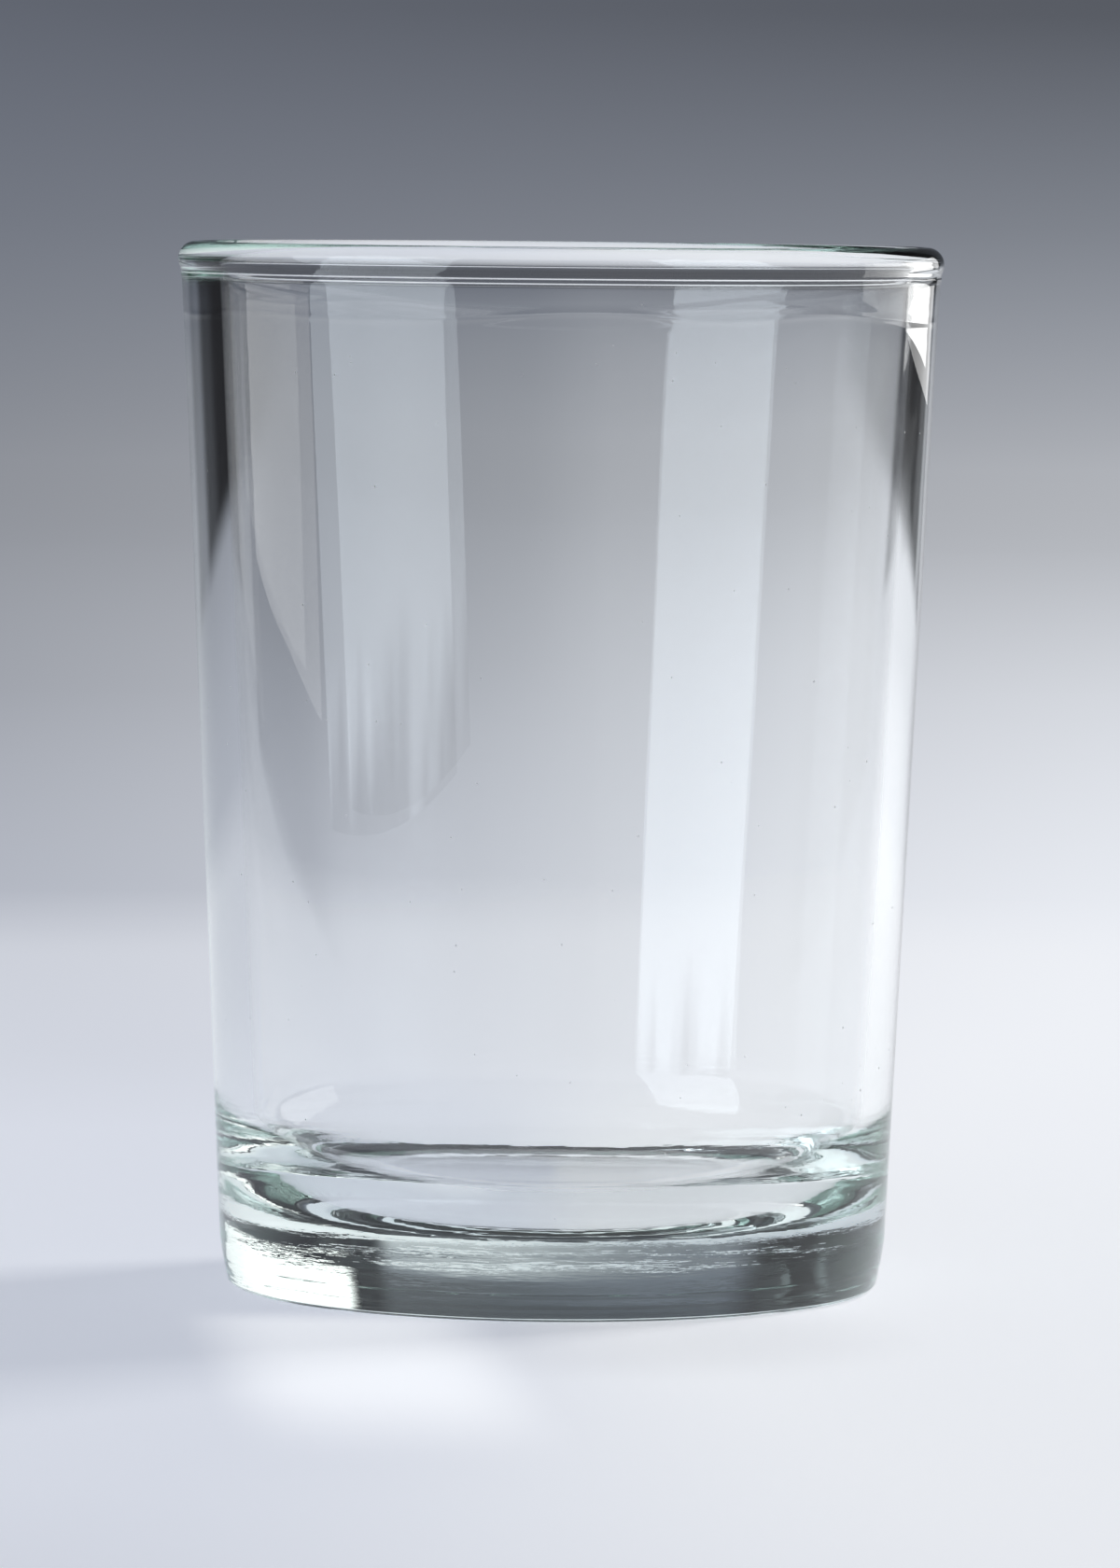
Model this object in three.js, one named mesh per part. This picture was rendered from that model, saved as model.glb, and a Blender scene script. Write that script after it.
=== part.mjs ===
// Rocks glass in clear pressed glass: a thick base, a gently tapered wall and a fire-rounded lip.
// It is one piece of glass, turned from a single outline.
// Millimetres, +Z up. The origin is on the table, under the middle of the glass.
import * as THREE from 'three';

// Outside
const HEIGHT = 96; // table to the top of the lip
const RIM_DIAMETER = 70.4; // across the widest part of the lip
const BASE_DIAMETER = 61.1; // the outside wall carried straight down to the table

// Heel: just above the table the wall turns in a little more, and ends in a tight round
const HEEL_HEIGHT = 4; // table to where the wall turns in
const HEEL_INSET = 0.6; // from the line of the wall in to the line of the heel, at the table
const HEEL_BLEND_RADIUS = 14; // soft turn from wall to heel
const FOOT_EDGE_RADIUS = 0.8; // round from heel to underside

// Lip: a full round, standing a little proud of the outside wall
const LIP_THICKNESS = 3.2;
const NECK_DEPTH = 0.3; // from the widest part of the lip in to the wall below it
const NECK_RADIUS = 0.8; // hollow between lip and wall

// Inside
const WALL_AT_BASE = 3.3; // both faces of the wall carried straight down to the table
const BASE_THICKNESS = 5.4; // glass under the middle of the floor
const FLOOR_CORNER_WIDTH = 14; // oval corner between floor and wall: half its width
const FLOOR_CORNER_HEIGHT = 11; // and half its height

// Underside: a flat ring to stand on, around a shallow dish
const FOOT_RING_WIDTH = 3;
const DISH_DEPTH = 1;

// Steps of the turned surface
const STEPS_AROUND = 96;
const STEPS_DISH = 5;
const STEPS_FOOT_EDGE = 5;
const STEPS_HEEL = 3;
const STEPS_NECK = 3;
const STEPS_LIP = 14;
const STEPS_FLOOR_CORNER = 10;

// An outline point: distance from the axis, height above the table.
function point(radius, height) {
  return new THREE.Vector2(radius, height);
}

// Points along an oval, both ends included. Angles are in radians from the outward direction.
function ovalArc(centre, halfWidth, halfHeight, from, to, steps) {
  const points = [];
  for (let step = 0; step <= steps; step += 1) {
    const angle = from + ((to - from) * step) / steps;
    const across = centre.x + halfWidth * Math.cos(angle);
    const up = centre.y + halfHeight * Math.sin(angle);
    points.push(point(across, up));
  }
  return points;
}

// The same along a circle.
function arc(centre, radius, from, to, steps) {
  return ovalArc(centre, radius, radius, from, to, steps);
}

// Lip circle
const lipRadius = LIP_THICKNESS / 2;
const lipCentre = point(RIM_DIAMETER / 2 - lipRadius, HEIGHT - lipRadius);

// Outside wall: a straight line leaning out from the table to just behind the lip.
const outsideFoot = point(BASE_DIAMETER / 2, 0);
const outsideRise = RIM_DIAMETER / 2 - NECK_DEPTH - outsideFoot.x;
const outsideLean = Math.atan2(outsideRise, lipCentre.y);
const outsideFacing = point(Math.cos(outsideLean), -Math.sin(outsideLean));
const outsideAlong = point(Math.sin(outsideLean), Math.cos(outsideLean));

// Neck: a hollow that touches the outside wall and the underside of the lip.
const lipBehindWall = lipCentre.clone().sub(outsideFoot).dot(outsideFacing);
const neckOut = NECK_RADIUS - lipBehindWall;
const neckDown = Math.sqrt((lipRadius + NECK_RADIUS) ** 2 - neckOut ** 2);
const neckCentre = lipCentre
  .clone()
  .addScaledVector(outsideFacing, neckOut)
  .addScaledVector(outsideAlong, -neckDown);
const lipToNeck = neckCentre.clone().sub(lipCentre).angle() - 2 * Math.PI;

// Heel: a straight line that leans further in than the wall, with a soft turn where they meet.
const heelTop = point(outsideFoot.x + HEEL_HEIGHT * Math.tan(outsideLean), HEEL_HEIGHT);
const heelLean = Math.atan2(heelTop.x - outsideFoot.x + HEEL_INSET, HEEL_HEIGHT);
const blendLean = (outsideLean + heelLean) / 2;
const blendFacing = point(Math.cos(blendLean), -Math.sin(blendLean));
const blendReach = HEEL_BLEND_RADIUS / Math.cos(heelLean - blendLean);
const blendCentre = heelTop.clone().addScaledVector(blendFacing, -blendReach);

// Foot edge: a round that touches the heel and the table.
const edgeInset = (FOOT_EDGE_RADIUS * (1 - Math.sin(heelLean))) / Math.cos(heelLean);
const edgeCentre = point(outsideFoot.x - HEEL_INSET - edgeInset, FOOT_EDGE_RADIUS);

// Inside wall: a straight line from its own foot that just touches the inside of the lip.
const insideFoot = point(outsideFoot.x - WALL_AT_BASE, 0);
const footToLip = lipCentre.clone().sub(insideFoot);
const lipSpread = Math.asin(lipRadius / footToLip.length());
const insideLean = Math.atan2(footToLip.x, footToLip.y) - lipSpread;

// Floor corner: part of an oval that touches the floor and the inside wall.
const floorHeight = DISH_DEPTH + BASE_THICKNESS;
const cornerLevel = floorHeight + FLOOR_CORNER_HEIGHT;
const cornerAcross = FLOOR_CORNER_WIDTH * Math.cos(insideLean);
const cornerDown = FLOOR_CORNER_HEIGHT * Math.sin(insideLean);
const cornerReach = Math.hypot(cornerAcross, cornerDown);
const cornerSide = (cornerLevel * Math.sin(insideLean) - cornerReach) / Math.cos(insideLean);
const cornerCentre = point(insideFoot.x + cornerSide, cornerLevel);
const cornerStart = -Math.atan2(cornerDown, cornerAcross);
const floorCorner = ovalArc(
  cornerCentre,
  FLOOR_CORNER_WIDTH,
  FLOOR_CORNER_HEIGHT,
  cornerStart,
  -Math.PI / 2,
  STEPS_FLOOR_CORNER,
);

// Dish: part of a large sphere, from the middle of the underside out to the foot ring.
const dishEdge = edgeCentre.x - FOOT_RING_WIDTH;
const dishRadius = (dishEdge ** 2 + DISH_DEPTH ** 2) / (2 * DISH_DEPTH);
const dishCentre = point(0, DISH_DEPTH - dishRadius);
const dishSpread = Math.asin(dishEdge / dishRadius);

// The outline runs from the middle of the underside, up the outside, over the lip
// and down the inside to the middle of the floor.
const outline = [
  ...arc(dishCentre, dishRadius, Math.PI / 2, Math.PI / 2 - dishSpread, STEPS_DISH),
  ...arc(edgeCentre, FOOT_EDGE_RADIUS, -Math.PI / 2, -heelLean, STEPS_FOOT_EDGE),
  ...arc(blendCentre, HEEL_BLEND_RADIUS, -heelLean, -outsideLean, STEPS_HEEL),
  ...arc(neckCentre, NECK_RADIUS, Math.PI - outsideLean, Math.PI + lipToNeck, STEPS_NECK),
  ...arc(lipCentre, lipRadius, lipToNeck, Math.PI - insideLean, STEPS_LIP).slice(1),
  ...floorCorner,
  point(0, floorHeight),
];

// The turning starts about the Y axis and is stood up on +Z.
const glassShape = new THREE.LatheGeometry(outline, STEPS_AROUND);
glassShape.rotateX(Math.PI / 2);

const clearGlass = new THREE.MeshStandardMaterial({
  color: 0xdfe8e4,
  roughness: 0.03,
  metalness: 0,
  transparent: true,
  opacity: 0.35,
});

const glassBody = new THREE.Mesh(glassShape, clearGlass);
glassBody.name = 'glass_body';

const rocksGlass = new THREE.Group();
rocksGlass.name = 'rocks_glass';
rocksGlass.add(glassBody);

export default rocksGlass;
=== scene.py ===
# %% [markdown]
# A rocks glass in clear pressed glass, on a pale table in soft studio light.
# The measured solid comes first. It is loaded as a fixed frame, in metres, and nothing here moves it.
# Everything that is seen is then made in that same frame, so no piece has to be fitted afterwards.

# %% Load the measured solid
import math

import bpy
import numpy as np
from mathutils import Matrix, Vector, noise


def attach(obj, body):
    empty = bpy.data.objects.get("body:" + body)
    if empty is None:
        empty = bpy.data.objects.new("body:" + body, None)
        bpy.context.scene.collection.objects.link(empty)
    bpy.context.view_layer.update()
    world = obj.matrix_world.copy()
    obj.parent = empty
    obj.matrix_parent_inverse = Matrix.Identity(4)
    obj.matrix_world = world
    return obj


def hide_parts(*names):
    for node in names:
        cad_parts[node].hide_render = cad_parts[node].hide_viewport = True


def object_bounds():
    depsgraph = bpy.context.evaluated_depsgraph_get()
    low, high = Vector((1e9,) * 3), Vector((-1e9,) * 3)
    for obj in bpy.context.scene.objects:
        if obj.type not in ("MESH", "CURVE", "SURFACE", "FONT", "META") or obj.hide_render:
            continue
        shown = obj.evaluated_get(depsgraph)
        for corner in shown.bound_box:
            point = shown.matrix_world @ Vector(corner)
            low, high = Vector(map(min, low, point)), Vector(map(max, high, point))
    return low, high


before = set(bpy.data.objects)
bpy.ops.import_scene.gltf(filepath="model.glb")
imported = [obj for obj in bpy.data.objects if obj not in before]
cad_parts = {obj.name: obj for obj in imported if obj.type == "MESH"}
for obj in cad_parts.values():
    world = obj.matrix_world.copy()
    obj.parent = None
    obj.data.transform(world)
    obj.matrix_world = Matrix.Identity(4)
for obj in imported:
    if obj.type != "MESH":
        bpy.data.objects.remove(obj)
cad_low, cad_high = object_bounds()
mm = 0.001
print("solid, in mm:", [round(side / mm, 2) for side in cad_high - cad_low])

# %% [markdown]
# The camera looks almost level at the glass, from a little above the rim and from well back.
# A long lens does that: the rim is a thin ellipse and the sides hardly converge.
# The distance, height and pitch below put the rim and the heel where the photograph has them.
# The small roll is there because the photograph itself leans a little to the right.

# %% Camera
camera_place = Vector((0.34, -836, 102.7)) * mm
camera_pitch = math.radians(3.862)
camera_roll = math.radians(0.55)
camera_lens = 208.5

camera_data = bpy.data.cameras.new("camera")
camera_data.sensor_width = 36
camera_data.lens = camera_lens
camera_data.clip_end = 20
camera = bpy.data.objects.new("camera", camera_data)
bpy.context.collection.objects.link(camera)
pitch_turn = Matrix.Rotation(math.pi / 2 - camera_pitch, 4, "X")
roll_turn = Matrix.Rotation(camera_roll, 4, "Z")
camera.matrix_world = Matrix.Translation(camera_place) @ pitch_turn @ roll_turn
bpy.context.scene.camera = camera
print("camera stands", round(camera_place.length, 3), "m from the foot of the glass")

# %% [markdown]
# A material is a graph of nodes, and its sums read best as sums.
# One small class wraps the output of a node: arithmetic on it adds Math nodes,
# and its node method adds any other node, with settings first and then values or links.

# %% Shader sums as Python


class Wire:
    """One output in a node tree. Arithmetic on it adds Math nodes to that tree."""

    def __init__(self, tree, socket=None):
        self.tree = tree
        self.socket = socket

    def node(self, kind, settings, inputs, output=0):
        made = self.tree.nodes.new(kind)
        for name, value in settings.items():
            if name == "stops":
                set_stops(made.color_ramp, value)
            else:
                setattr(made, name, value)
        for name, value in inputs.items():
            if isinstance(value, Wire):
                self.tree.links.new(value.socket, made.inputs[name])
            else:
                made.inputs[name].default_value = value
        return Wire(self.tree, made.outputs[output] if made.outputs else None)

    def sum(self, operation, first, second=0.0):
        return self.node("ShaderNodeMath", {"operation": operation}, {0: first, 1: second})

    def __add__(self, other):
        return self.sum("ADD", self, other)

    __radd__ = __add__

    def __mul__(self, other):
        return self.sum("MULTIPLY", self, other)

    __rmul__ = __mul__

    def __sub__(self, other):
        return self.sum("SUBTRACT", self, other)

    def __rsub__(self, other):
        return self.sum("SUBTRACT", other, self)

    def __truediv__(self, other):
        return self.sum("DIVIDE", self, other)

    def __pow__(self, power):
        return self.sum("POWER", self, power)

    def smooth(self, start, end):
        """0 before start, 1 after end, and a soft step between them."""
        limits = {"Value": self, "From Min": start, "From Max": end}
        return self.node("ShaderNodeMapRange", {"interpolation_type": "SMOOTHSTEP"}, limits)

    def blended(self, colour, share):
        """This colour with a share of another one in its place."""
        return self.node("ShaderNodeMix", {"data_type": "RGBA"}, {0: share, 6: self, 7: colour}, 2)

    def tinted(self, colour):
        """This grey or colour times another colour."""
        settings = {"data_type": "RGBA", "blend_type": "MULTIPLY"}
        return self.node("ShaderNodeMix", settings, {0: 1.0, 6: self, 7: colour}, 2)


def set_stops(ramp, stops):
    """Puts a ramp's stops in place: each is a position and a grey level."""
    while len(ramp.elements) < len(stops):
        ramp.elements.new(1)
    for element, (position, level) in zip(ramp.elements, stops):
        element.position = position
        element.color = (level, level, level, 1)


def new_material(name):
    """An empty node material, with a Wire to add nodes to it."""
    material = bpy.data.materials.new(name)
    material.use_nodes = True
    material.node_tree.nodes.clear()
    return material, Wire(material.node_tree)


def surface_point(graph):
    """The point on the surface, in metres: as a vector, and as its three values."""
    point = graph.node("ShaderNodeTexCoord", {}, {}, "Object")
    values = [graph.node("ShaderNodeSeparateXYZ", {}, {"Vector": point}, axis) for axis in "XYZ"]
    return point, values


print("shader sums ready")

# %% [markdown]
# The table and the backdrop are one sheet, flat around the glass and swept up far behind it,
# with no corner to catch the eye. It goes all the way round, so the glass has a quiet background
# from any side. It is turned from one outline, as a potter would turn a wide shallow bowl.

# %% Table and backdrop
sweep_flat = 1.6
sweep_bend = 0.5
sweep_height = 2.6
sweep_sides = 96
bend_points = 25
gap_under_glass = 0.1 * mm


def turned_mesh(name, outline, sides, relief=None):
    """A surface turned about the Z axis from points (radius, height), with a relief added if given."""
    outline = np.array(outline, dtype=float)
    angles = np.arange(sides) * (2 * math.pi / sides)
    spokes = np.stack([np.cos(angles), np.sin(angles), np.zeros(sides)], axis=1)
    places = outline[:, 0, None, None] * spokes
    places[..., 2] = outline[:, 1, None]
    if relief is not None:
        places += relief(places, spokes)
    index = np.arange(places.shape[0] * sides).reshape(-1, sides)
    on_axis = outline[:, 0] == 0
    index[on_axis] = index[on_axis][:, :1]
    kept, index_flat = np.unique(index, return_inverse=True)
    index = index_flat.reshape(-1, sides)
    ahead = np.roll(index, -1, axis=1)
    corners = np.stack([index[:-1], ahead[:-1], ahead[1:], index[1:]], axis=2).reshape(-1, 4)
    faces = [list(dict.fromkeys(face)) for face in corners.tolist()]
    mesh = bpy.data.meshes.new(name)
    mesh.from_pydata(places.reshape(-1, 3)[kept].tolist(), [], faces)
    mesh.shade_smooth()
    return mesh


sweep_outline = [(sweep_flat + sweep_bend, sweep_height)]
for angle in np.linspace(math.pi / 2, 0, bend_points):
    across = sweep_flat + sweep_bend * math.sin(angle)
    sweep_outline.append((across, sweep_bend * (1 - math.cos(angle))))
sweep_outline += [(1.0, 0), (0.5, 0), (0.2, 0), (0, 0)]
sweep = bpy.data.objects.new("table", turned_mesh("table", sweep_outline, sweep_sides))
sweep.location.z = -gap_under_glass
bpy.context.collection.objects.link(sweep)
print("table and backdrop:", len(sweep.data.polygons), "faces")

# %% [markdown]
# White paper in a studio shades softly from a pool of light into the dark. Lamps alone could do that,
# but many would be needed, and each would show in the glass. So most of the light is a glow of the paper
# itself, which fades along the sheet: first across the table and then up the backdrop.
# Each stop below is a distance along the sheet, in metres, and a level. The right side is the brighter one,
# and the light turns cooler high on the backdrop.

# %% Fading light on the paper
paper_length = 4.5
left_tint = (0.82, 0.87, 1.0, 1)
right_tint = (0.91, 0.94, 1.0, 1)
high_tint = (1.05, 1.1, 1.2, 1)
# The paper's own colour is white on the table only and near black beyond it, so the lamp hardly lights it
# there and further out the painted glow alone gives its light.
paper_white = [(0, 0.8), (0.36, 0.8), (0.46, 0.1), (1.0, 0.03), (4.5, 0.03)]
left_table = [(0, 0.60), (0.14, 0.59), (0.22, 0.53), (0.36, 0.48), (0.46, 0.48), (0.96, 0.31)]
left_backdrop = [(1.76, 0.235), (1.97, 0.175), (2.11, 0.145), (2.3, 0.07), (2.6, 0.05), (4.5, 0.04)]
right_table = [(0, 0.66), (0.14, 0.68), (0.22, 0.68), (0.36, 0.66), (0.46, 0.86), (0.96, 0.80)]
right_backdrop = [(1.76, 0.53), (1.97, 0.235), (2.11, 0.085), (2.3, 0.07), (2.6, 0.05), (4.5, 0.04)]

paper, graph = new_material("paper")
_, (x, y, z) = surface_point(graph)
from_glass = (x * x + y * y) ** 0.5
along_sheet = from_glass + z
never_zero = from_glass + mm
to_right = x / never_zero
to_back = y / never_zero


def fade(levels):
    """A grey that follows the distance along the sheet, through the given distances and levels."""
    stops = [(distance / paper_length, level) for distance, level in levels]
    return graph.node("ShaderNodeValToRGB", {"stops": stops}, {"Fac": along_sheet / paper_length})


left_glow = fade(left_table + left_backdrop).tinted(left_tint)
right_glow = fade(right_table + right_backdrop).tinted(right_tint)
two_glows = left_glow.blended(right_glow, to_right.smooth(-0.25, 0.25))
two_glows = two_glows.blended(two_glows.tinted(high_tint), along_sheet.smooth(1.7, 2.1))
print("paper: light fades over", paper_length, "m of sheet")

# %% [markdown]
# A clear glass draws its edges with whatever is dark on either hand, so a photographer keeps the
# far ends of the table dark on both sides; here that is painted shade, with the paper's glow turned
# near black there. Near the foot, the glass also throws its own light: it gathers what passes through it
# into a pale patch in front, with a soft shade beside it. A renderer finds such gathered light slowly,
# so both are painted into the paper's glow: the patch as painted light and the shade as painted shade.

# %% Painted shade at the sides, painted light patch and painted shade
# Colours of the painted shade at the sides, the painted shade by the foot and the painted light patch.
side_shade_colour = (0.012, 0.012, 0.014, 1)
shade_colour, shade_strength = (0.3, 0.31, 0.34, 1), 0.25
patch_colour, patch_strength = (0.95, 0.97, 1, 1), 0.45
shade_place, shade_reach = (4 * mm, -38 * mm), 32 * mm
patch_side, patch_slant, patch_reach = 22 * mm, 0.1, 15 * mm

# Painted shade: the paper's glow turns near black at the far ends on both sides.
left_dark = to_right.smooth(-0.36, -0.48) * along_sheet.smooth(0.85, 1.0)
right_dark = to_right.smooth(0.32, 0.38) * along_sheet.smooth(0.92, 1.06)
painted_dark_sides = (left_dark + right_dark) * to_back.smooth(0.05, 0.3)
# Painted light: a pale patch in front of the foot, a little to the left, where the glass gathers light onto
# the table.
off_patch = x + patch_slant * y + patch_side
patch = (off_patch * off_patch).smooth(patch_reach**2, 0)
patch = patch * y.smooth(-120 * mm, -70 * mm) * y.smooth(-20 * mm, -32 * mm)
# Painted shade: a soft round darkening of the glow just in front of the foot.
off_shade_x, off_shade_y = x - shade_place[0], y - shade_place[1]
shade = (off_shade_x * off_shade_x + off_shade_y * off_shade_y).smooth(shade_reach**2, 0)
room_glow = two_glows.blended(side_shade_colour, painted_dark_sides)
table_glow = room_glow.blended(shade_colour, shade_strength * shade)
table_glow = table_glow.blended(patch_colour, patch_strength * patch)
paper_surface = graph.node(
    "ShaderNodeBsdfPrincipled",
    {},
    {
        "Base Color": fade(paper_white),
        "Roughness": 0.6,
        "Emission Color": table_glow,
        "Emission Strength": 1.0,
    },
)
graph.node("ShaderNodeOutputMaterial", {}, {"Surface": paper_surface})
sweep.data.materials.append(paper)
print("paper:", len(paper.node_tree.nodes), "nodes")

# %% [markdown]
# One soft lamp, behind on the right, gives the shadow of the glass on the table. If the glass could see it,
# hard white spots would run all along the lip, so it is hidden from mirrored and bent light.
# The room around is nearly black, so that only what is placed on purpose shows in the glass.

# %% Lamp for the table
table_lamp_place = Vector((1.12, 0.82, 0.85))
room_colour = (0.03, 0.031, 0.033, 1)

table_lamp_data = bpy.data.lights.new("table_lamp", "AREA")
table_lamp_data.size = 0.5
table_lamp_data.energy = 11.5
table_lamp = bpy.data.objects.new("table_lamp", table_lamp_data)
bpy.context.collection.objects.link(table_lamp)
table_lamp_turn = (-table_lamp_place).to_track_quat("-Z", "Y").to_matrix().to_4x4()
table_lamp.matrix_world = Matrix.Translation(table_lamp_place) @ table_lamp_turn
table_lamp.visible_camera = False
table_lamp.visible_glossy = False
table_lamp.visible_transmission = False

world = bpy.data.worlds.new("room")
world.use_nodes = True
world.node_tree.nodes["Background"].inputs["Color"].default_value = room_colour
bpy.context.scene.world = world
print("table lamp:", table_lamp_data.energy, "watts")

# %% [markdown]
# Clear glass has no colour of its own to show: it is seen by what it bends and mirrors. So what stands
# around it matters as much as its shape. Glowing cards do that work, as lit paper screens
# do in a studio. The camera and the table are blind to them: only the glass sees them.

# %% Cards that only the glass sees


def standing_card(name, place, corners):
    """A flat card turned to the glass, from corners given as distance across and height."""
    mesh = bpy.data.meshes.new(name)
    mesh.from_pydata([(across, up, 0) for across, up in corners], [], [(0, 1, 2, 3)])
    card = bpy.data.objects.new(name, mesh)
    bpy.context.collection.objects.link(card)
    facing = Vector((-place[0], -place[1], 0)).to_track_quat("-Z", "Y")
    card.matrix_world = Matrix.Translation((*place, 0)) @ facing.to_matrix().to_4x4()
    card.visible_camera = False
    card.visible_diffuse = False
    card.visible_shadow = False
    return card


def paint_card(card, material, graph, colour, brightness, share):
    """Makes a card glow. The share of its brightness may vary over the card."""
    glowing = graph.node("ShaderNodeEmission", {}, {"Color": colour, "Strength": brightness})
    dark = graph.node("ShaderNodeEmission", {}, {"Color": (0, 0, 0, 1), "Strength": 0.0})
    surface = graph.node("ShaderNodeMixShader", {}, {0: share, 1: dark, 2: glowing})
    graph.node("ShaderNodeOutputMaterial", {}, {"Surface": surface})
    card.data.materials.append(material)


def frayed(graph, point, size):
    """Uneven values about zero, with swellings of the given sizes across and up the card."""
    scaled = graph.node("ShaderNodeVectorMath", {"operation": "DIVIDE"}, {0: point, 1: (*size, 1)})
    return graph.node("ShaderNodeTexNoise", {}, {"Vector": scaled, "Scale": 1.0, "Detail": 1.0}) - 0.5


print("cards can be made")

# %% [markdown]
# The first card stands behind on the right. The thick base works as a lens and shows it as the white
# patch at the lower left, and the wall shows it again at the top of its right edge. Its foot is raised,
# which leaves the dark line above the white patch. Its far side is frayed, because a patch with a
# clean edge would look cut out.

# %% Card behind on the right
key_place = (0.528, 0.459)
key_low, key_high, key_half = 0.05, 0.25, 0.326
key_colour, key_brightness = (1, 1, 1, 1), 1.4
key_fray, key_fray_size, key_soft_edge = 0.06, (0.2, 0.008), 0.03

key_corners = [(-key_half, key_low), (key_half, key_low), (key_half, key_high), (-key_half, key_high)]
key_card = standing_card("key_card", key_place, key_corners)
material, graph = new_material("key_card")
point, (across, _, _) = surface_point(graph)
inside_edge = key_half - across + key_fray * frayed(graph, point, key_fray_size)
key_share = inside_edge.smooth(0.0, key_soft_edge)
paint_card(key_card, material, graph, key_colour, key_brightness, key_share)
print("card behind:", round(2 * key_half, 3), "m wide")

# %% [markdown]
# The second card stands in front on the left. The outside of the wall mirrors it as the wide pale
# reflection on the left, and the inside of the far wall mirrors it once more as the strip on the right.
# It leans, so the strip leans, and its lower edge is frayed, so the reflection runs out in tongues.

# %% Card in front on the left
front_place = (-0.258, -0.173)
front_low, front_high, front_half = 0.0, 0.269, 0.125
front_lean, lean_level = -0.4, 0.063
front_colour, front_brightness = (0.84, 0.92, 1, 1), 2.7
front_fray, front_fray_size, front_soft_edge = 0.07, (0.045, 0.12), 0.02

front_corners = []
for side, level in [(-1, front_low), (1, front_low), (1, front_high), (-1, front_high)]:
    front_corners.append((side * front_half + front_lean * (level - lean_level), level))
front_card = standing_card("front_card", front_place, front_corners)
material, graph = new_material("front_card")
point, (_, up, _) = surface_point(graph)
above_edge = up - front_low + front_fray * frayed(graph, point, front_fray_size)
front_share = above_edge.smooth(0.0, front_soft_edge)
paint_card(front_card, material, graph, front_colour, front_brightness, front_share)
print("card in front:", round(front_high - front_low, 3), "m tall")

# %% [markdown]
# The glass is turned from one outline: up the outside, over the lip and down the inside.
# Its sizes are those of the solid; the skin only has many more points, because light that passes
# through glass shows every flat. Round stretches are arcs, so a change of size carries through.

# %% Sizes of the glass
height = cad_high.z
rim_radius = (cad_high.x - cad_low.x) / 2
lip_radius = 1.6 * mm
foot_radius = 30.55 * mm
neck_depth = 0.3 * mm
neck_radius = 0.8 * mm
heel_height = 4.0 * mm
heel_inset = 0.6 * mm
heel_blend_radius = 14 * mm
foot_edge_radius = 0.8 * mm
wall_at_base = 3.3 * mm
floor_height = 6.4 * mm
corner_width = 14 * mm
corner_height = 11 * mm
foot_ring_width = 3 * mm
dish_depth = 1 * mm


def arc(centre, radius, start, end, steps):
    """Points along a round or oval stretch, both ends included. An oval has two radii: across and up."""
    angles = np.linspace(start, end, steps + 1)
    return centre + np.stack([np.cos(angles), np.sin(angles)], axis=1) * radius


def straight(start, end, steps):
    """Points strictly between two ends, evenly spaced."""
    shares = np.linspace(0, 1, steps + 1)[1:-1, None]
    return np.array(start) + shares * (np.array(end) - np.array(start))


print("height and rim radius, in mm:", round(height / mm, 2), round(rim_radius / mm, 2))

# %% [markdown]
# The lip is melted round in a flame, and stands a little proud of the wall. A small hollow joins the two.
# It could be drawn by eye, but a round that touches both lines leaves no kink for the light to find,
# so its centre is worked out from the lip and the lean of the wall.

# %% Lip, neck and outside wall
lip_centre = np.array([rim_radius - lip_radius, height - lip_radius])
wall_lean = math.atan2(rim_radius - neck_depth - foot_radius, lip_centre[1])
wall_facing = np.array([math.cos(wall_lean), -math.sin(wall_lean)])
wall_along = np.array([math.sin(wall_lean), math.cos(wall_lean)])

neck_out = neck_radius - (lip_centre - [foot_radius, 0]) @ wall_facing
neck_down = math.sqrt((lip_radius + neck_radius) ** 2 - neck_out**2)
neck_centre = lip_centre + neck_out * wall_facing - neck_down * wall_along
lip_to_neck = math.atan2(neck_centre[1] - lip_centre[1], neck_centre[0] - lip_centre[0])
print("outside wall leans", round(math.degrees(wall_lean), 2), "degrees")

# %% [markdown]
# Just above the table, the wall turns in a little more, which helps the glass out of its mould.
# It stands on a narrow flat ring around a shallow dish, because a full flat would rock.
# The turn and the foot are rounds that touch their neighbours, as at the lip.

# %% Heel and underside
heel_top = np.array([foot_radius + heel_height * math.tan(wall_lean), heel_height])
heel_lean = math.atan2(heel_top[0] - foot_radius + heel_inset, heel_height)
blend_lean = (wall_lean + heel_lean) / 2
blend_reach = heel_blend_radius / math.cos(heel_lean - blend_lean)
blend_centre = heel_top - blend_reach * np.array([math.cos(blend_lean), -math.sin(blend_lean)])
edge_inset = foot_edge_radius * (1 - math.sin(heel_lean)) / math.cos(heel_lean)
edge_centre = np.array([foot_radius - heel_inset - edge_inset, foot_edge_radius])
dish_edge = edge_centre[0] - foot_ring_width
dish_radius = (dish_edge**2 + dish_depth**2) / (2 * dish_depth)
dish_spread = math.asin(dish_edge / dish_radius)
dish_centre = (0, dish_depth - dish_radius)
print("dish is", round(2 * dish_edge / mm, 1), "mm across")

# %% [markdown]
# The inside wall just touches the lip, and leans a little more than the outside, so the glass thickens
# towards the base. Wall and floor meet in a wide oval corner. Its shape decides where the base looks bright
# and where it looks dark, so it is an oval with its own width and height and not a plain round.

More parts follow.
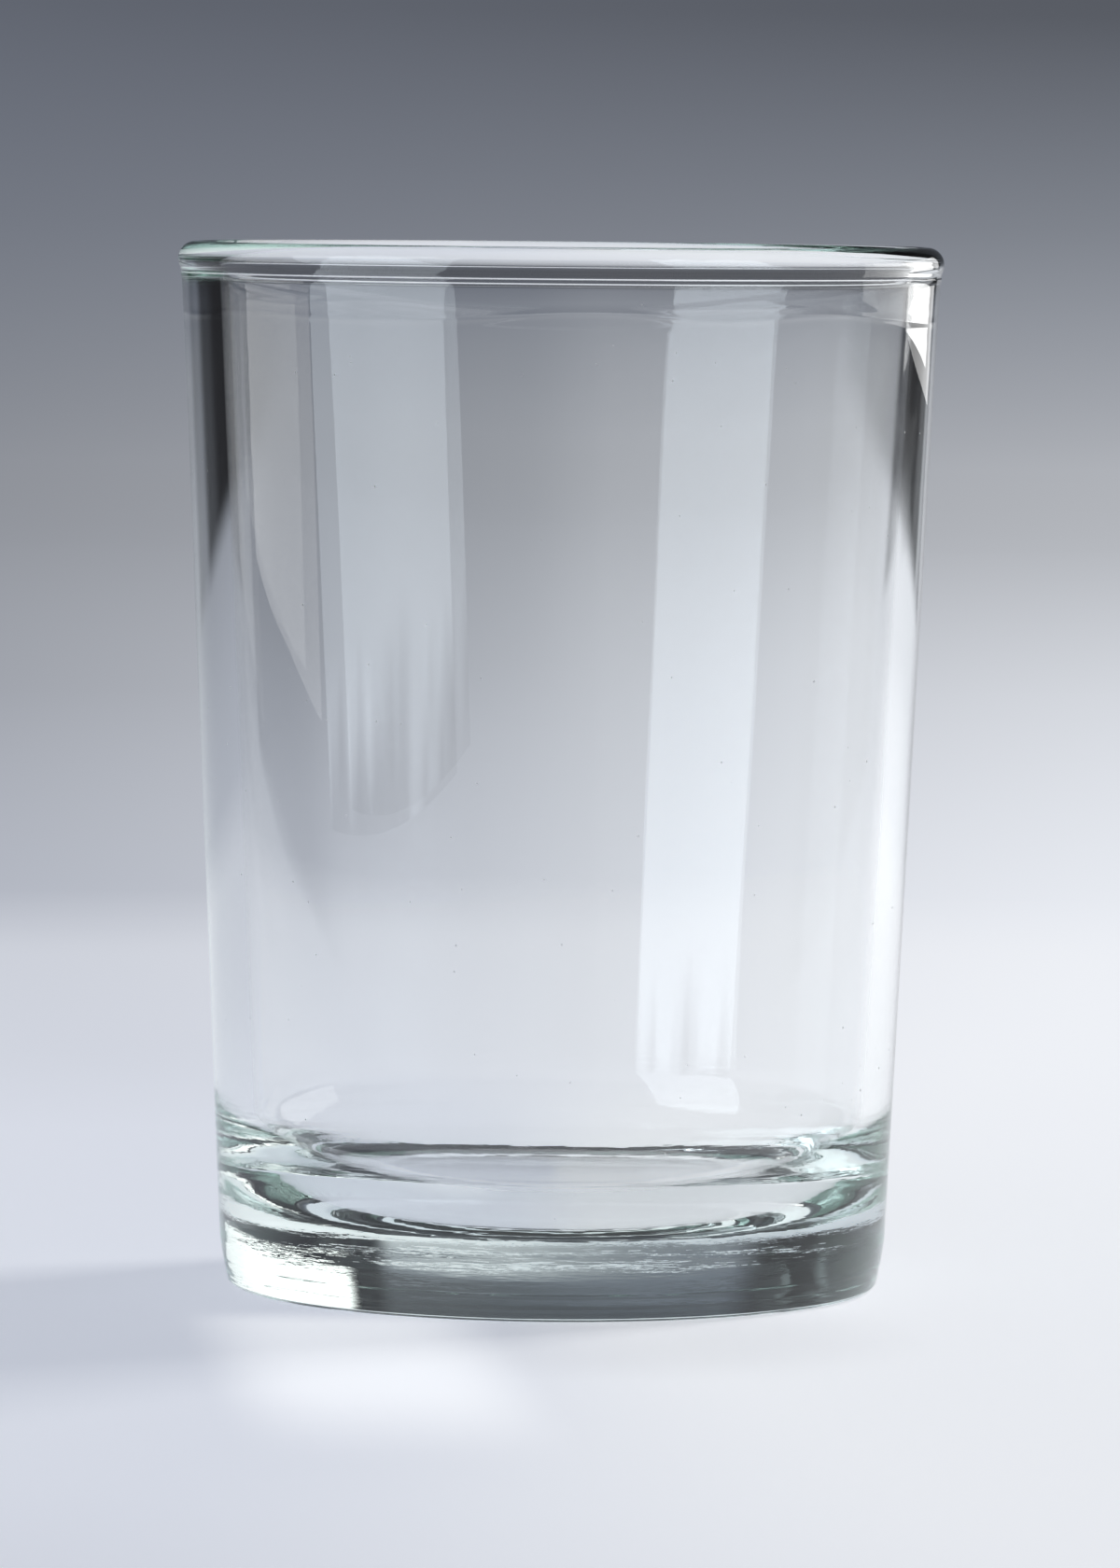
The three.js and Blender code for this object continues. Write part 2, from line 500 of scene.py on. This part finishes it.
# %% Inside wall and floor
inside_foot = np.array([foot_radius - wall_at_base, 0])
foot_to_lip = lip_centre - inside_foot
lip_spread = math.asin(lip_radius / np.hypot(*foot_to_lip))
inside_lean = math.atan2(*foot_to_lip) - lip_spread
inside_facing = np.array([math.cos(inside_lean), -math.sin(inside_lean)])
corner_reach = np.hypot(*(inside_facing * [corner_width, corner_height]))
corner_level = floor_height + corner_height
corner_side = (corner_level * inside_facing[1] + corner_reach) / inside_facing[0]
corner_centre = np.array([inside_foot[0] - corner_side, corner_level])
corner_start = math.atan2(corner_height * inside_facing[1], corner_width * inside_facing[0])
print("inside wall leans", round(math.degrees(inside_lean), 2), "degrees")

# %% [markdown]
# The stretches are now laid end to end. A curve needs close points, and so does any straight stretch that
# will carry fine faults: the heel, the lower wall and the wall just under the lip.
# Plain stretches get fewer, which keeps the mesh light.

# %% Whole outline
fine_above_heel = 18 * mm
fine_below_neck = 7 * mm
quarter_turn = math.pi / 2

underside = arc(dish_centre, dish_radius, quarter_turn, quarter_turn - dish_spread, steps=24)
underside[0, 0] = 0
foot_edge = arc(edge_centre, foot_edge_radius, -quarter_turn, -heel_lean, steps=12)
heel_blend = arc(blend_centre, heel_blend_radius, -heel_lean, -wall_lean, steps=12)
neck = arc(neck_centre, neck_radius, math.pi - wall_lean, math.pi + lip_to_neck, steps=12)
lip = arc(lip_centre, lip_radius, lip_to_neck, math.pi - inside_lean, steps=44)
corner = arc(corner_centre, (corner_width, corner_height), corner_start, -quarter_turn, steps=96)
floor_middle = np.array([[0, floor_height]])

foot_ring = straight(underside[-1], foot_edge[0], steps=6)
heel = straight(foot_edge[-1], heel_blend[0], steps=40)
low_on_wall = heel_blend[-1] + fine_above_heel * wall_along
high_on_wall = neck[0] - fine_below_neck * wall_along
lower_wall = straight(heel_blend[-1], low_on_wall, steps=80)
upper_wall = straight(low_on_wall, high_on_wall, steps=70)
under_lip = straight(high_on_wall, neck[0], steps=80)
inside_wall = straight(lip[-1], corner[0], steps=90)
floor = straight(corner[-1], floor_middle[0], steps=20)

foot_points = [underside, foot_ring, foot_edge, heel, heel_blend]
outside_points = foot_points + [lower_wall, upper_wall, under_lip, neck]
inside_points = [inside_wall, corner, floor, floor_middle]
glass_outline = np.concatenate(outside_points + [lip[1:]] + inside_points)
lip_start = sum(map(len, outside_points))
inside_start = lip_start + len(lip) - 1
print("outline:", len(glass_outline), "points")

# %% [markdown]
# Pressed glass is never quite true, and light that passes through it shows the least fault.
# Each fault is a small push along the way the surface faces, so that direction is found first,
# for every point of the outline. Then come a few soft shapes to build faults from.
# A painted bump could stand in for them, but a moved point bends light as a real fault does.

# %% Shapes for small faults
point_numbers = np.arange(len(glass_outline))
outline_radius, outline_height = glass_outline.T
travel = np.gradient(glass_outline, axis=0)
travel /= np.hypot(travel[:, 0], travel[:, 1])[:, None]
facing_across, facing_up = travel[:, 1], -travel[:, 0]
outside = (point_numbers < lip_start).astype(float)
inside = (point_numbers >= inside_start).astype(float)


def soft_step(value, start, end):
    """0 before start, 1 after end, smooth between. Start may be the larger one."""
    share = np.clip((value - start) / (end - start), 0, 1)
    return share * share * (3 - 2 * share)


def ripple(places, grain):
    """Soft uneven relief of about -1 to 1, with swellings of the given sizes along X, Y and Z."""
    scaled = (places / np.array(grain)).reshape(-1, 3)
    return np.array([noise.noise(place) for place in scaled.tolist()]).reshape(places.shape[:-1])


def ring(at, width):
    """1 at a height on the outside of the glass, fading to 0 within about two widths of it."""
    return outside * np.exp(-(((outline_height - at) / width) ** 2) / 2)


print("points outside and inside:", int(outside.sum()), int(inside.sum()))

# %% [markdown]
# The walls swell and thin by hundredths of a millimetre, in patches taller than they are wide.
# Near the floor and the heel, where the glass chills first, its skin sets in fine level wrinkles.
# All of it is far too small to measure in the solid, but it breaks up the streaks of light in the base.

# %% Swellings and wrinkles
inside_swelling, inside_patch = 0.02 * mm, (14 * mm, 14 * mm, 26 * mm)
outside_swelling, outside_patch = 0.012 * mm, (16 * mm, 16 * mm, 22 * mm)
floor_wrinkle, floor_patch = 0.004 * mm, (9 * mm, 9 * mm, 0.9 * mm)
heel_wrinkle, heel_patch = 0.006 * mm, (6 * mm, 6 * mm, 1.1 * mm)


def swellings(places):
    """How far the walls, floor and heel swell out of true at each point."""
    wall_inside = inside * soft_step(outline_height, height - 2 * mm, height - 14 * mm)
    wall_outside = outside * soft_step(outline_height, 4 * mm, 12 * mm)
    wall_outside *= soft_step(outline_height, height - 2 * mm, height - 8 * mm)
    near_floor = inside * soft_step(outline_height, 24 * mm, 14 * mm)
    near_heel = outside * soft_step(outline_height, 20 * mm, 7 * mm)
    near_heel *= soft_step(outline_height, 0.1 * mm, 1 * mm)
    depth = inside_swelling * wall_inside[:, None] * ripple(places, inside_patch)
    depth += outside_swelling * wall_outside[:, None] * ripple(places, outside_patch)
    depth += floor_wrinkle * near_floor[:, None] * ripple(places, floor_patch)
    depth += heel_wrinkle * near_heel[:, None] * ripple(places, heel_patch)
    return depth


print("swellings of up to", round(inside_swelling / mm, 3), "mm")

# %% [markdown]
# The mould leaves two faint raised lines around the heel, uneven in strength. The flame that rounds the
# lip leaves a ring and a soft swelling close under it, and lower down one shallow line, which wanders
# because melted glass never settles level. A straight line would look ruled, so a ripple moves it.

# %% Lines at the heel and under the lip
mould_line, mould_patch = 0.03 * mm, (7 * mm, 7 * mm, 4 * mm)
upper_mould_height, upper_mould_width = 2.4 * mm, 0.1 * mm
lower_mould_height, lower_mould_width = 1.2 * mm, 0.12 * mm
lip_ring, lip_ring_height, lip_ring_width = 0.06 * mm, 93.3 * mm, 0.3 * mm
lip_swelling, lip_swelling_reach = 0.08 * mm, 2 * mm
settle_line, settle_height, settle_width = 0.006 * mm, 89.8 * mm, 0.22 * mm
settle_wander, settle_patch = 1.2 * mm, (18 * mm, 18 * mm, 60 * mm)


def lines(places):
    """How far the lines around the glass stand out at each point."""
    below_neck = neck[0, 1] - outline_height
    under_neck = outside * (below_neck >= 0) * np.exp(-np.maximum(below_neck, 0) / lip_swelling_reach)
    at_lip = lip_ring * ring(lip_ring_height, lip_ring_width) + lip_swelling * under_neck
    at_heel = ring(upper_mould_height, upper_mould_width) + ring(lower_mould_height, lower_mould_width)
    uneven = 0.6 + 0.8 * ripple(places, mould_patch)
    off_line = places[..., 2] - settle_height - settle_wander * ripple(places, settle_patch)
    settled = outside[:, None] * np.exp(-((off_line / settle_width) ** 2) / 2)
    return mould_line * at_heel[:, None] * uneven - settle_line * settled + at_lip[:, None]


print("line under the lip wanders by", round(settle_wander / mm, 1), "mm")

# %% [markdown]
# The plunger that presses the inside is never quite central, so the whole inside sits a little to one side,
# and the wall is thicker on the other. With that and the small faults, the outline is turned
# into the glass, which takes the place of the plain solid.

# %% Glass skin
glass_sides = 320
plunger_shift = 0.4 * mm


def glass_relief(places, spokes):
    """How far each point of the glass lies from the true turned shape."""
    depth = swellings(places) + lines(places)
    plunger_side = soft_step(outline_radius, lip_centre[0], lip_centre[0] - lip_radius)
    plunger_side *= point_numbers > lip_start
    moves = depth[..., None] * facing_across[:, None, None] * spokes
    moves[..., 2] = depth * facing_up[:, None]
    moves[..., 0] += plunger_shift * plunger_side[:, None]
    return moves


glass_mesh = turned_mesh("glass_skin", glass_outline, glass_sides, glass_relief)
glass = bpy.data.objects.new("glass_skin", glass_mesh)
bpy.context.collection.objects.link(glass)
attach(glass, "root")
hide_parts("glass_body")
print("glass skin:", len(glass_mesh.polygons), "faces")

# %% [markdown]
# A glass that has been handled is not perfectly clean. Faint smears and a few specks of dust dull it,
# and the chilled skin low on the outside has streaks finer than the mesh can carry.
# Smears and dust are noise that raises the roughness. The streaks are noise drawn out level,
# laid on as a bump, because only their slope is seen.

# %% Smears, dust and streaks
streak_depth = 0.009 * mm
clear_glass, graph = new_material("clear_glass")
point, (x, y, z) = surface_point(graph)


def stretched(size):
    """The surface point, scaled so that one unit is the given size along X, Y and Z."""
    return graph.node("ShaderNodeVectorMath", {"operation": "DIVIDE"}, {0: point, 1: size})


def grain(size, detail):
    """Soft noise from 0 to 1, with swellings of the given size."""
    return graph.node("ShaderNodeTexNoise", {}, {"Vector": stretched(size), "Scale": 1.0, "Detail": detail})


smears = grain((9 * mm, 9 * mm, 21 * mm), 3.0).smooth(0.55, 0.75)
dust_cells = stretched((4 * mm, 4 * mm, 4 * mm))
dust = graph.node("ShaderNodeTexVoronoi", {}, {"Vector": dust_cells, "Scale": 1.0}).smooth(0.035, 0.02)
on_outside = (x * x + y * y).smooth((28.5 * mm) ** 2, (29.5 * mm) ** 2)
streaks = grain((5 * mm, 5 * mm, 0.4 * mm), 2.0) * z.smooth(22 * mm, 15 * mm) * on_outside
fine_streaks = grain((1.6 * mm, 1.6 * mm, 0.22 * mm), 2.0)
streaks = streaks + 0.3 * fine_streaks * z.smooth(9 * mm, 5 * mm)
streaked = graph.node("ShaderNodeBump", {}, {"Height": streaks, "Strength": 1.0, "Distance": streak_depth})
print("smears, dust and streaks:", len(clear_glass.node_tree.nodes), "nodes")

# %% [markdown]
# Soda-lime glass bends light by 1.52, and takes a little red out of what passes through much of it,
# so thick places look faintly green. A coloured surface would tint thin and thick places alike,
# so the tint belongs in the volume, where it grows with thickness.

# %% Clear glass
glass_bending = 1.52
glass_green, green_density = (0.13, 0.77, 0.5, 1), 2.5
smear_roughness, dust_roughness = 0.05, 0.5

glass_surface = graph.node(
    "ShaderNodeBsdfPrincipled",
    {},
    {
        "Base Color": (1, 1, 1, 1),
        "Roughness": smear_roughness * smears + dust_roughness * dust,
        "IOR": glass_bending,
        "Transmission Weight": 1.0,
        "Normal": streaked,
    },
)
tint_settings = {"Color": glass_green, "Density": green_density}
glass_tint = graph.node("ShaderNodeVolumeAbsorption", {}, tint_settings)
graph.node("ShaderNodeOutputMaterial", {}, {"Surface": glass_surface, "Volume": glass_tint})
glass.data.materials.append(clear_glass)
print("glass finish:", len(clear_glass.node_tree.nodes), "nodes")

# %% [markdown]
# The picture is shown as the light falls, with no film look laid over it.
# Light has to cross many faces of glass before it leaves, so it is followed further than usual.

# %% Light through glass
scene = bpy.context.scene
scene.view_settings.view_transform = "Standard"
scene.cycles.max_bounces = 64
scene.cycles.transmission_bounces = 64
scene.cycles.glossy_bounces = 48
scene.cycles.diffuse_bounces = 2
scene.cycles.sample_clamp_indirect = 6
print("light is followed through", scene.cycles.transmission_bounces, "faces of glass")
